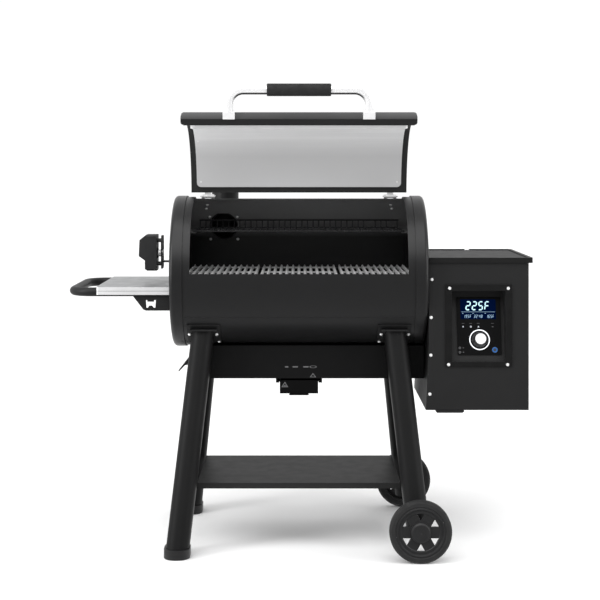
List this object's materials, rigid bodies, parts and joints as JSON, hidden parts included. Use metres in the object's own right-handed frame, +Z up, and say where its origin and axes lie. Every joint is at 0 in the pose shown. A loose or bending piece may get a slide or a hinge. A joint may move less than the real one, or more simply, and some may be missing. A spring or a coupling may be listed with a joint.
{
  "type": "pellet smoker grill",
  "caption": "Free-standing barrel pellet smoker with a hinged lid, side pellet hopper with digital controls, side and lower shelves, legs and wheels.",
  "frame": {"origin": "on the floor under the middle of the barrel", "axes": "+X along the barrel towards the hopper, +Y towards the chimney at the back, +Z up; the lid is open at rest"},
  "size_m": [1.404, 0.702, 1.3977],
  "materials": {
    "black_enamel": "semi-gloss baked enamel",
    "black_powder_coat": "fine-textured matte powder coat",
    "liner_steel": "brushed along the barrel, satin",
    "shelf_steel": "satin stainless",
    "handle_chrome": "polished",
    "grip_rubber": "soft-touch matte",
    "zinc_steel": "bright zinc plate",
    "grate_iron": "porcelain-coated, worn grey on the bars' tops",
    "rack_steel": "dull plated wire",
    "galvanised_steel": "dull, heat-stained",
    "burner_steel": "heat-blued, sooty",
    "tyre_rubber": "matte",
    "wheel_plastic": "moulded, satin",
    "moulded_plastic": "fine-textured moulding",
    "bezel_plastic": "fine-textured moulding",
    "panel_gloss": "gloss lens over a lit display",
    "button_plastic": "gloss",
    "ring_white": "opal, lit",
    "circuit_board": "lacquered laminate"
  },
  "bodies": {
    "frame": {"auger_motor": "moulded_plastic", "auger_tube": "galvanised_steel", "barrel_hinges": "zinc_steel", "barrel_shell": "black_enamel", "bin_grille": "galvanised_steel", "chimney_cap": "black_powder_coat", "chimney_pipe": "black_powder_coat", "control_bezel": "bezel_plastic", "control_board": "circuit_board", "control_glass": "panel_gloss", "cooking_grates": "grate_iron", "drip_tray": "galvanised_steel", "end_caps": "black_enamel", "fan_housing": "moulded_plastic", "fire_pot": "burner_steel", "heat_baffle": "galvanised_steel", "hopper_bin": "galvanised_steel", "hopper_box": "black_powder_coat", "hopper_front_panel": "black_powder_coat", "hopper_lid_hinge": "zinc_steel", "igniter_rod": "zinc_steel", "knob_ring": "ring_white", "left_feet": "moulded_plastic", "left_legs": "black_powder_coat", "leg_brackets": "black_powder_coat", "lower_housing": "black_powder_coat", "lower_shelf": "black_powder_coat", "machine_screws": "zinc_steel", "power_inlet": "moulded_plastic", "right_legs": "black_powder_coat", "rotisserie_bracket": "black_powder_coat", "rotisserie_motor": "moulded_plastic", "side_shelf_brackets": "black_powder_coat", "side_shelf_frame": "black_powder_coat", "side_shelf_top": "shelf_steel", "warming_rack": "rack_steel", "wheel_axle": "zinc_steel"},
    "lid": {"lid_shell": "black_enamel", "lid_liner": "liner_steel", "lid_front_trim": "black_powder_coat", "lid_handle": "handle_chrome", "lid_handle_grip": "grip_rubber", "lid_hinge_leaves": "zinc_steel"},
    "hopper_cover": {"hopper_lid": "black_powder_coat"},
    "front_wheel": {"front_wheel_rim": "wheel_plastic", "front_wheel_tyre": "tyre_rubber"},
    "rear_wheel": {"rear_wheel_rim": "wheel_plastic", "rear_wheel_tyre": "tyre_rubber"},
    "knob": {"control_knob": "moulded_plastic"},
    "power_key": {"power_button": "button_plastic"},
    "key_1": {"panel_key_1": "button_plastic"},
    "key_2": {"panel_key_2": "button_plastic"},
    "key_3": {"panel_key_3": "button_plastic"},
    "auger": {"auger_screw": "burner_steel"},
    "fan": {"fan_impeller": "moulded_plastic"},
    "spit_socket": {"rotisserie_socket": "zinc_steel"},
    "spit_switch": {"rotisserie_switch": "moulded_plastic"},
    "ash_tray": {"ash_cup": "black_powder_coat"},
    "grease_tray": {"grease_drawer": "black_powder_coat"},
    "gate": {"dump_gate": "black_powder_coat"}
  },
  "joints": [
    {"name": "lid_hinge", "type": "hinge", "parent": "frame", "child": "lid", "pos_m": [0, 0.076, 1.057], "axis": [1, 0, 0], "range_deg": [0, 70]},
    {"name": "hopper_cover_hinge", "type": "hinge", "parent": "frame", "child": "hopper_cover", "pos_m": [0.54, 0.229, 0.869], "axis": [-1, 0, 0], "range_deg": [0, 95]},
    {"name": "front_wheel_spin", "type": "hinge", "parent": "frame", "child": "front_wheel", "pos_m": [0.3535, -0.33, 0.091], "axis": [0, 1, 0], "continuous": true},
    {"name": "rear_wheel_spin", "type": "hinge", "parent": "frame", "child": "rear_wheel", "pos_m": [0.3535, 0.33, 0.091], "axis": [0, 1, 0], "continuous": true},
    {"name": "knob_turn", "type": "hinge", "parent": "frame", "child": "knob", "pos_m": [0.5445, -0.18097, 0.62941], "axis": [0, -0.9711, 0.2385], "continuous": true},
    {"name": "power_key_press", "type": "slide", "parent": "frame", "child": "power_key", "axis": [0, 0.9711, -0.2385], "range_m": [0, 0.001], "stiffness_N_per_m": 800},
    {"name": "key_1_press", "type": "slide", "parent": "frame", "child": "key_1", "axis": [0, 0.9711, -0.2385], "range_m": [0, 0.0008], "stiffness_N_per_m": 500},
    {"name": "key_2_press", "type": "slide", "parent": "frame", "child": "key_2", "axis": [0, 0.9711, -0.2385], "range_m": [0, 0.0008], "stiffness_N_per_m": 500},
    {"name": "key_3_press", "type": "slide", "parent": "frame", "child": "key_3", "axis": [0, 0.9711, -0.2385], "range_m": [0, 0.0008], "stiffness_N_per_m": 500},
    {"name": "auger_turn", "type": "hinge", "parent": "frame", "child": "auger", "pos_m": [0.4, 0, 0.56], "axis": [1, 0, 0], "continuous": true},
    {"name": "fan_spin", "type": "hinge", "parent": "frame", "child": "fan", "pos_m": [0.41, 0.064, 0.55], "axis": [1, 0, 0], "continuous": true},
    {"name": "spit_socket_turn", "type": "hinge", "parent": "frame", "child": "spit_socket", "pos_m": [-0.4425, 0, 0.88], "axis": [1, 0, 0], "continuous": true},
    {"name": "spit_switch_rock", "type": "hinge", "parent": "frame", "child": "spit_switch", "pos_m": [-0.479, 0, 0.843], "axis": [0, 1, 0], "range_deg": [0, 12]},
    {"name": "ash_tray_slide", "type": "slide", "parent": "frame", "child": "ash_tray", "axis": [0, -1, 0], "range_m": [0, 0.11]},
    {"name": "grease_tray_slide", "type": "slide", "parent": "frame", "child": "grease_tray", "axis": [-1, 0, 0], "range_m": [0, 0.12]},
    {"name": "gate_slide", "type": "slide", "parent": "frame", "child": "gate", "axis": [0, -1, 0], "range_m": [0, 0.07]}
  ]
}
